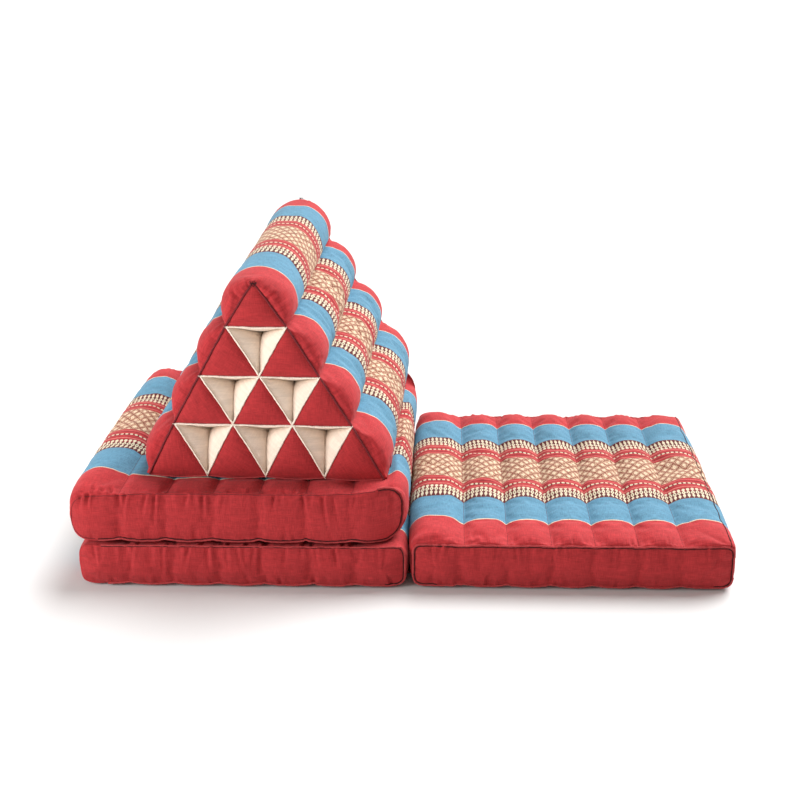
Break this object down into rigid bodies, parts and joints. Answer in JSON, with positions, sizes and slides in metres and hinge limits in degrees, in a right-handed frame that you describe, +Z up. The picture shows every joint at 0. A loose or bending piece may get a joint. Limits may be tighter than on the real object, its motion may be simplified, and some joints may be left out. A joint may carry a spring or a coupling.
{
  "type": "thai triangle cushion with fold-out mats",
  "caption": "Floor cushion of the Thai triangle kind: a filled pyramid backrest on stacked quilted mats, with a further mat folded open beside it.",
  "frame": {"origin": "middle of the footprint, on the floor", "axes": "+X from the stacked mats towards the mat that lies open, +Y towards the back, +Z up"},
  "size_m": [0.9974, 0.604, 0.4705],
  "materials": {
    "patterned_cotton": "woven cotton with crosswise stripes",
    "red_cotton": "plain woven red cotton",
    "cream_cotton": "plain woven cream cotton",
    "seam_thread": "dark sewing thread"
  },
  "bodies": {
    "root": {"triangle_cushion": "patterned_cotton", "mat_upper": "patterned_cotton", "mat_lower": "patterned_cotton", "mat_outer": "patterned_cotton", "hinge_triangle": "red_cotton", "hinge_left": "red_cotton", "hinge_floor": "red_cotton"}
  },
  "joints": []
}
